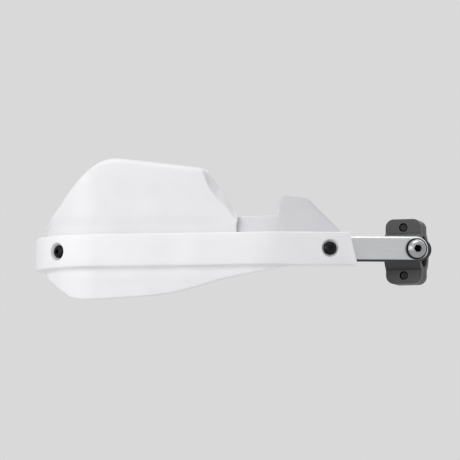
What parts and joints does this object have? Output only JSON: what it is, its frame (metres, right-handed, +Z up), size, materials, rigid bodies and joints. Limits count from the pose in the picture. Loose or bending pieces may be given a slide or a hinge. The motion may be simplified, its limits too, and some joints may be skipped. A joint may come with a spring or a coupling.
{
  "type": "motorcycle hand guard",
  "caption": "Bent flat-bar hand guard with a bar clamp, a bar-end expander, a moulded shell with a raised channel, and a taller wind deflector.",
  "frame": {"origin": "centre of the clamp's bore, on the axis of the round bar that the guard is fitted on", "axes": "+X along the round bar, from its open end inboard; -Y is forward, the way the guard's face looks, with the bar swept back 15 degrees; +Z up"},
  "size_m": [0.2853, 0.1164, 0.1006],
  "materials": {
    "white_plastic": "satin, injection moulded",
    "aluminium": "satin, tumbled",
    "black_aluminium": "black anodised",
    "black_steel": "black zinc on steel",
    "zinc_steel": "zinc plated"
  },
  "bodies": {
    "root": {"backbone": "aluminium", "guard_shell": "white_plastic", "wind_deflector": "white_plastic", "deflector_screws": "black_steel", "outer_shell_bolt": "black_steel", "outer_shell_washer": "zinc_steel", "outer_shell_nut": "zinc_steel", "inner_shell_bolt": "black_steel", "inner_shell_washer": "zinc_steel", "inner_shell_nut": "zinc_steel", "clamp_body": "black_aluminium", "clamp_cap": "black_aluminium", "upper_clamp_bolt": "black_steel", "lower_clamp_bolt": "black_steel", "clamp_washers": "zinc_steel", "pivot_bolt": "black_steel", "pivot_washer": "black_steel", "bar_end_bolt": "black_steel", "bar_end_washer": "zinc_steel", "bar_end_spacer": "aluminium", "expander_sleeve": "aluminium", "wedge_nut": "zinc_steel"}
  },
  "joints": []
}
